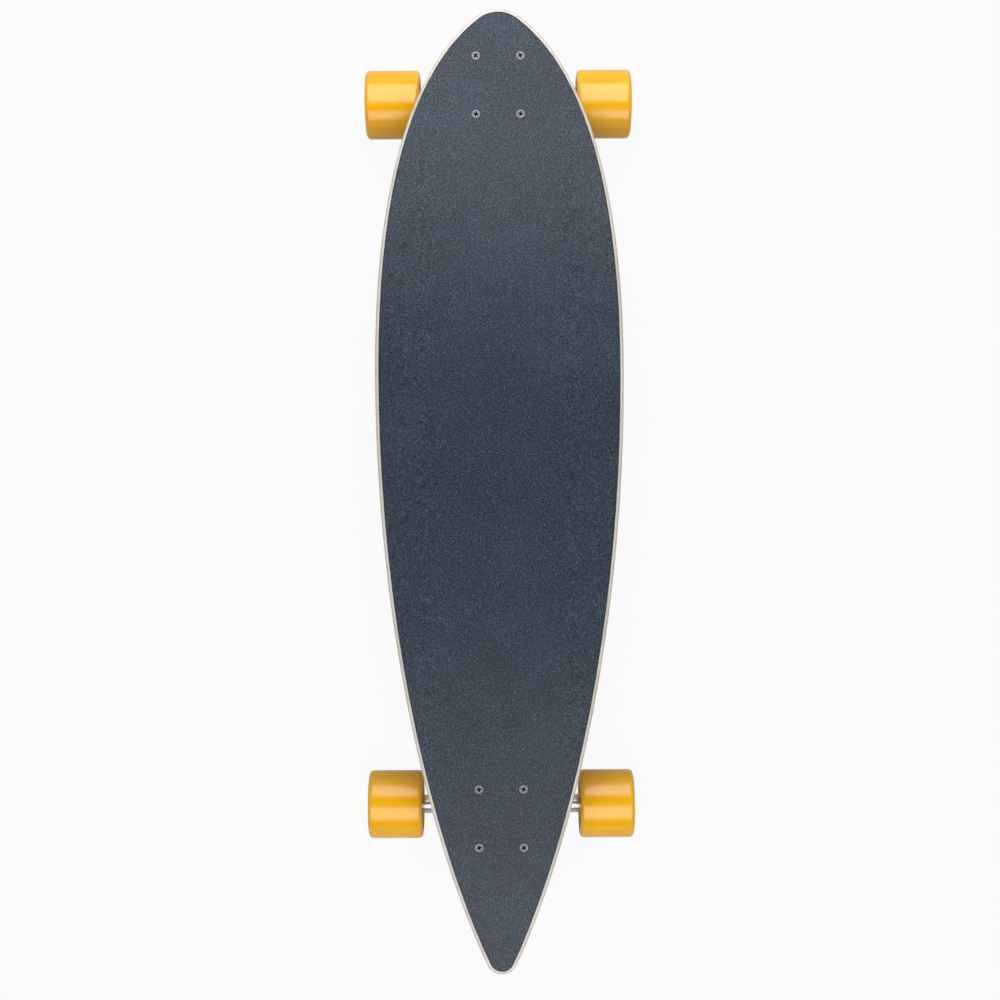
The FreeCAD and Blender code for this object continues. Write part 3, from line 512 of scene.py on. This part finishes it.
def urethane_material():
    """Amber wheel urethane, cast and skimmed: glossy, slightly clouded, with faint turning lines."""
    made, kit, shader = new_material("wheel_urethane")
    place = kit.place()
    cloud = kit.noise(place, WHEEL_CLOUD_COUNT, detail=3.0, roughness=0.55)
    turning = kit.noise(kit.stretched(place, TURNING_COUNTS))
    colour = kit.toned(cloud, WHEEL_TONES)
    roughness = kit.between(cloud, *NOISE_RANGE, *WHEEL_ROUGHNESS)
    relief = kit.bump(turning, *TURNING_RELIEF)
    set_shader(
        kit, shader, Base_Color=colour, Roughness=roughness, Normal=relief, IOR=1.6, Subsurface_Weight=0.4,
        Subsurface_Radius=(1.0, 0.3, 0.02), Subsurface_Scale=WHEEL_SCATTER,
    )
    return made


def moulded_material(name, finish):
    """Moulded rubber, urethane or nylon with a faint tone and a fine skin."""
    made, kit, shader = new_material(name)
    place = kit.place()
    skin_count, relief_strength = finish["grain"]
    cloud = kit.noise(place, MOULDED_CLOUD_COUNT, detail=3.0, roughness=0.6)
    skin = kit.noise(place, skin_count, detail=3.0, roughness=0.6)
    colour = kit.toned(cloud, finish["tones"])
    roughness = kit.between(skin, *NOISE_RANGE, *finish["roughness"])
    relief = kit.bump(skin, relief_strength, MOULDED_RELIEF_DEPTH)
    set_shader(kit, shader, Base_Color=colour, Roughness=roughness, Normal=relief)
    return made


def make_materials():
    """Every finish by the record's slot, with a few more for single pieces."""
    materials = {"maple": maple_material(), "grip": grip_material(), "wheel_urethane": urethane_material()}
    for name, finish in METALS.items():
        materials[name] = metal_material(name, finish)
    for name, finish in MOULDINGS.items():
        materials[name] = moulded_material(name, finish)
    return materials


def dress_nodes(materials):
    """Gives every solid the finish of its slot, or the duller one that its name asks for."""
    for subpart in frame["record"]["subparts"]:
        name = subpart["node"]
        finish = subpart["material_slot"]
        for ending, duller in DULLER_FINISHES.items():
            if name.endswith(ending):
                finish = duller
        nodes[name].data.materials.clear()
        nodes[name].data.materials.append(materials[finish])


def paint_recess_shade(truck, material):
    """Gives the cross recesses of one truck's mounting screws a near-black finish of their own, which is painted
    shade inside the recesses.
    """
    mesh = nodes[truck + "_mounting_screws"].data
    low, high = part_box(truck + "_mounting_screws")
    centres = [
        Vector((x, y, high.z))
        for x in (low.x + SCREW_HEAD_RADIUS, high.x - SCREW_HEAD_RADIUS)
        for y in (low.y + SCREW_HEAD_RADIUS, high.y - SCREW_HEAD_RADIUS)
    ]
    mesh.materials.append(material)
    for face in mesh.polygons:
        for centre in centres:
            offset = centre - face.center
            if offset.xy.length < RECESS_RADIUS and RECESS_TOP < offset.z < RECESS_DEPTH:
                face.material_index = 1


def new_piece(name, mesh, material):
    """A smooth-shaded piece of the object from a mesh."""
    piece = bpy.data.objects.new(name, mesh)
    bpy.context.scene.collection.objects.link(piece)
    mesh.materials.clear()
    mesh.materials.append(material)
    for face in mesh.polygons:
        face.use_smooth = True
    return piece


def soft_casting(node_name, material, body):
    """Replaces a cast solid by the same shape with blended creases and rounded edges."""
    draft = bpy.data.objects.new(node_name + "_draft", nodes[node_name].data.copy())
    bpy.context.scene.collection.objects.link(draft)
    remesh = draft.modifiers.new("remesh", "REMESH")
    remesh.mode = "VOXEL"
    remesh.voxel_size = CAST_VOXEL
    smooth = draft.modifiers.new("smooth", "SMOOTH")
    smooth.factor = CAST_SMOOTHING
    smooth.iterations = CAST_PASSES
    evaluated = draft.evaluated_get(bpy.context.evaluated_depsgraph_get())
    mesh = bpy.data.meshes.new_from_object(evaluated)
    bpy.data.objects.remove(draft)
    piece = new_piece(node_name + "_casting", mesh, material)
    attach(piece, body)
    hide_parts(node_name)


def lathe(name, profile, segments, to_place):
    """Mesh turned about Z from a closed list of (radius, level) corners, then moved to its place."""
    shape = bmesh.new()
    rings = []
    for step in range(segments):
        turn = 2 * math.pi * step / segments
        rings.append([
            shape.verts.new(to_place @ Vector((radius * math.cos(turn), radius * math.sin(turn), level)))
            for radius, level in profile
        ])
    for ring, following in zip(rings, rings[1:] + rings[:1]):
        for corner in range(len(profile)):
            after = (corner + 1) % len(profile)
            shape.faces.new((ring[corner], following[corner], following[after], ring[after]))
    bmesh.ops.recalc_face_normals(shape, faces=shape.faces)
    mesh = bpy.data.meshes.new(name)
    shape.to_mesh(mesh)
    shape.free()
    return mesh


def steer_joint(truck):
    """The record's steering joint of one truck."""
    return next(joint for joint in frame["joints"] if joint["name"] == truck + "_steer")


def kingpin_axes(truck):
    """Directions along the pivot axis, across the board and along the kingpin towards the board."""
    pivot = Vector(steer_joint(truck)["axis"]).normalized()
    across = Vector((0.0, 1.0, 0.0))
    kingpin = pivot.cross(across)
    if kingpin.z < 0:
        kingpin.negate()
    return pivot, across, kingpin


def span(node_name, direction):
    """Lowest and highest reach of a solid along a direction."""
    reaches = [vertex.co.dot(direction) for vertex in nodes[node_name].data.vertices]
    return min(reaches), max(reaches)


def kingpin_span(node_name, truck):
    """Lowest and highest reach of a solid along the kingpin."""
    return span(node_name, kingpin_axes(truck)[2])


def kingpin_place(node_name, truck, level):
    """Turns a lathe's Z to the kingpin and sets its level zero at that reach along it."""
    pivot, across, kingpin = kingpin_axes(truck)
    low, high = span(node_name, pivot)
    origin = pivot * (low + high) / 2 + kingpin * level
    turn = Matrix((kingpin.cross(across), across, kingpin)).transposed().to_4x4()
    return Matrix.Translation(origin) @ turn


def rounded(profile):
    """Closed profile with each corner replaced by a short curve."""
    points = []
    for index, corner in enumerate(profile):
        before = Vector(profile[index - 1])
        here = Vector(corner)
        after = Vector(profile[(index + 1) % len(profile)])
        shorter_side = min((before - here).length, (after - here).length)
        reach = min(CORNER_REACH, CORNER_SHARE * shorter_side)
        start = here + (before - here).normalized() * reach
        end = here + (after - here).normalized() * reach
        for step in range(CORNER_STEPS + 1):
            share = step / CORNER_STEPS
            points.append(start * (1 - share) ** 2 + here * 2 * share * (1 - share) + end * share ** 2)
    return [(point.x, point.y) for point in points]


def bushing_profile(shape, height):
    """Half section of a bushing, from the board's end at level zero to the hanger's."""
    board_end, hanger_end = shape["end_radii"]
    wall = []
    for step in range(BUSHING_WALL_STEPS + 1):
        share = step / BUSHING_WALL_STEPS
        radius = board_end + (hanger_end - board_end) * share
        wall.append((radius - shape["waist"] * math.sin(math.pi * share), height * share))
    return rounded([(BUSHING_BORE, 0.0), *wall, (BUSHING_FLARED_BORE, height)])


def make_bushing(truck, part, shape, material):
    """Soft bushing, turned from its end at the board to its end at the hanger."""
    node_name = truck + "_" + part
    low, high = kingpin_span(node_name, truck)
    board_level, hanger_level = (low, high) if shape["hanger_above"] else (high, low)
    height = hanger_level - board_level
    to_place = kingpin_place(node_name, truck, board_level)
    mesh = lathe(node_name + "_rubber", bushing_profile(shape, height), BUSHING_SEGMENTS, to_place)
    piece = new_piece(node_name + "_rubber", mesh, material)
    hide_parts(node_name)
    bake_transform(piece)


def corner_radius(nut):
    """Distance from a hexagon nut's axis to its corners."""
    return nut["flats"] / 2 / math.cos(math.pi / 6)


def nut_ring(name, nut, to_place, material, body):
    """Nylon locking ring in the mouth of a lock nut's collar, with its top just proud of level zero."""
    inner = nut["bolt"] / 2
    chamfer = corner_radius(nut) - nut["flats"] / 2
    outer = nut["flats"] / 2 * NUT_COLLAR_SHARE - chamfer
    lip = RING_PROUD
    profile = [
        (inner, -RING_DEPTH),
        (outer, -RING_DEPTH),
        (outer, lip / 2),
        (outer - lip, lip),
        (inner + lip, lip),
        (inner, lip / 2),
    ]
    piece = new_piece(name, lathe(name, profile, RING_SEGMENTS, to_place), material)
    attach(piece, body)


def mounting_rings(truck, material):
    """Locking rings of one truck's four mounting nuts, which face the ground."""
    low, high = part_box(truck + "_mounting_nuts")
    corner = corner_radius(MOUNTING_NUT)
    flat = MOUNTING_NUT["flats"] / 2
    stations = {"inner": low.x + corner, "outer": high.x - corner}
    if truck == "rear":
        stations = {"inner": high.x - corner, "outer": low.x + corner}
    sides = {"left": high.y - flat, "right": low.y + flat}
    for end, x in stations.items():
        for side, y in sides.items():
            to_place = Matrix.Translation((x, y, low.z)) @ TURNED_OVER
            nut_ring(f"{truck}_{end}_{side}_nut_ring", MOUNTING_NUT, to_place, material, "board")


def kingpin_ring(truck, material):
    """Locking ring of the kingpin nut, which faces away from the board."""
    node_name = truck + "_kingpin_nut"
    low = kingpin_span(node_name, truck)[0]
    to_place = kingpin_place(node_name, truck, low) @ TURNED_OVER
    nut_ring(truck + "_kingpin_nut_ring", KINGPIN_NUT, to_place, material, "board")


def axle_rings(truck, material):
    """Locking rings of the two axle nuts, which face outward."""
    low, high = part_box(truck + "_axle_nuts")
    middle = (low + high) / 2
    for side, y, turn in (("left", high.y, -90.0), ("right", low.y, 90.0)):
        outward = Matrix.Rotation(math.radians(turn), 4, "X")
        to_place = Matrix.Translation((middle.x, y, middle.z)) @ outward
        nut_ring(f"{truck}_{side}_axle_nut_ring", AXLE_NUT, to_place, material, truck + "_axle_assembly")


def make_truck(truck, materials):
    """The modelled pieces of one truck."""
    # The cross recesses get painted shade
    paint_recess_shade(truck, materials["painted_recess_shade"])
    soft_casting(truck + "_hanger", materials["cast_aluminium"], truck + "_axle_assembly")
    soft_casting(truck + "_baseplate", materials["base_aluminium"], "board")
    for part, shape in BUSHINGS.items():
        make_bushing(truck, part, shape, materials["bushing_urethane"])
    mounting_rings(truck, materials["core_nylon"])
    kingpin_ring(truck, materials["core_nylon"])
    axle_rings(truck, materials["core_nylon"])


def floor_clearness(kit, path):
    """Share of the white surroundings that shows through the floor: most from above, and all from below, so
    that a wheel that dips under it when a truck steers stays in sight and in the light."""
    seen = kit.math("MAXIMUM", path["Is Camera Ray"], path["Is Transmission Ray"])
    distance = kit.add("VectorMath", {0: kit.place()}, operation="LENGTH").outputs["Value"]
    from_above = kit.math("MULTIPLY", seen, kit.between(distance, *FLOOR_FADE, FLOOR_CLEAR_SHARE, 1.0))
    from_below = kit.add("NewGeometry").outputs["Backfacing"]
    return kit.math("MAXIMUM", from_above, from_below)


def floor_material():
    """Matt grey that the camera sees white surroundings through, under a faint shadow."""
    made = bpy.data.materials.new("floor_white")
    made.use_nodes = True
    made.node_tree.nodes.clear()
    kit = Nodes(made.node_tree)
    matt = kit.add("BsdfDiffuse", {"Color": (*FLOOR_COLOUR, 1.0)}).outputs[0]
    glow = kit.add("Emission", {"Color": WHITE, "Strength": 1.0}).outputs[0]
    clear = kit.add("BsdfTransparent").outputs[0]
    path = kit.add("LightPath").outputs
    mirrored = kit.math("MULTIPLY", path["Is Glossy Ray"], FLOOR_MIRRORED_SHARE)
    solid = kit.add("MixShader", {0: mirrored, 1: matt, 2: glow}).outputs[0]
    mixed = kit.add("MixShader", {0: floor_clearness(kit, path), 1: solid, 2: clear}).outputs[0]
    kit.add("OutputMaterial", {"Surface": mixed})
    return made


def make_floor():
    """Square floor at level zero."""
    half = FLOOR_SIZE / 2
    mesh = bpy.data.meshes.new("floor")
    corners = [(-half, -half, 0.0), (half, -half, 0.0), (half, half, 0.0), (-half, half, 0.0)]
    mesh.from_pydata(corners, [], [(0, 1, 2, 3)])
    mesh.materials.append(floor_material())
    floor = bpy.data.objects.new("floor", mesh)
    bpy.context.scene.collection.objects.link(floor)


def make_world():
    """Studio surroundings: pale walls under a dark ceiling, and plain white behind the object."""
    world = bpy.data.worlds.new("studio")
    bpy.context.scene.world = world
    world.use_nodes = True
    world.node_tree.nodes.clear()
    kit = Nodes(world.node_tree)
    up = kit.add("SeparateXYZ", {0: kit.add("TexCoord").outputs["Generated"]}).outputs["Z"]
    level = kit.between(up, *WALL_SLOPE, HORIZON_LEVEL, CEILING_LEVEL)
    path = kit.add("LightPath").outputs
    seen = kit.math("MAXIMUM", path["Is Camera Ray"], path["Is Transmission Ray"])
    walls = kit.between(up, *WALL_SLOPE, MIRRORED_HORIZON_LEVEL, CEILING_LEVEL)
    mirrored = kit.math("MULTIPLY", path["Is Glossy Ray"], walls)
    shown = kit.math("MAXIMUM", level, kit.math("MAXIMUM", seen, mirrored))
    sky = kit.add("Background", {"Color": WHITE, "Strength": shown}).outputs[0]
    kit.add("OutputWorld", {"Surface": sky})


def make_soft_box(name, settings):
    """Soft box that leans over one end of the board, unseen by the camera."""
    start, end = (Vector(edge) for edge in settings["edges"])
    middle = (start + end) / 2
    lamp = bpy.data.lights.new(name, "AREA")
    lamp.shape = "RECTANGLE"
    lamp.size = (end - start).length
    lamp.size_y = settings["length"]
    lamp.energy = settings["radiance"] * math.pi * lamp.size * lamp.size_y
    box = bpy.data.objects.new(name, lamp)
    box.location = (middle.x, 0.0, middle.y)
    box.rotation_euler = (0.0, math.atan2(start.y - end.y, end.x - start.x), 0.0)
    box.visible_camera = False
    bpy.context.scene.collection.objects.link(box)


def make_camera():
    """Camera above the board, with the nose at the top of the picture."""
    camera = bpy.data.objects.new("camera", bpy.data.cameras.new("camera"))
    camera.data.lens = CAMERA_LENS
    camera.location = (CAMERA_STATION, 0.0, CAMERA_HEIGHT)
    camera.rotation_euler = (0.0, 0.0, math.radians(-90.0 - CAMERA_ROLL))
    bpy.context.scene.collection.objects.link(camera)
    bpy.context.scene.camera = camera


def make_scene():
    """The dressed board in its studio."""
    bpy.context.scene.view_settings.view_transform = "Standard"
    make_camera()
    make_world()
    make_floor()
    make_soft_box("nose_box", NOSE_BOX)
    make_soft_box("tail_box", TAIL_BOX)
    materials = make_materials()
    dress_nodes(materials)
    for truck in TRUCKS:
        make_truck(truck, materials)


make_scene()
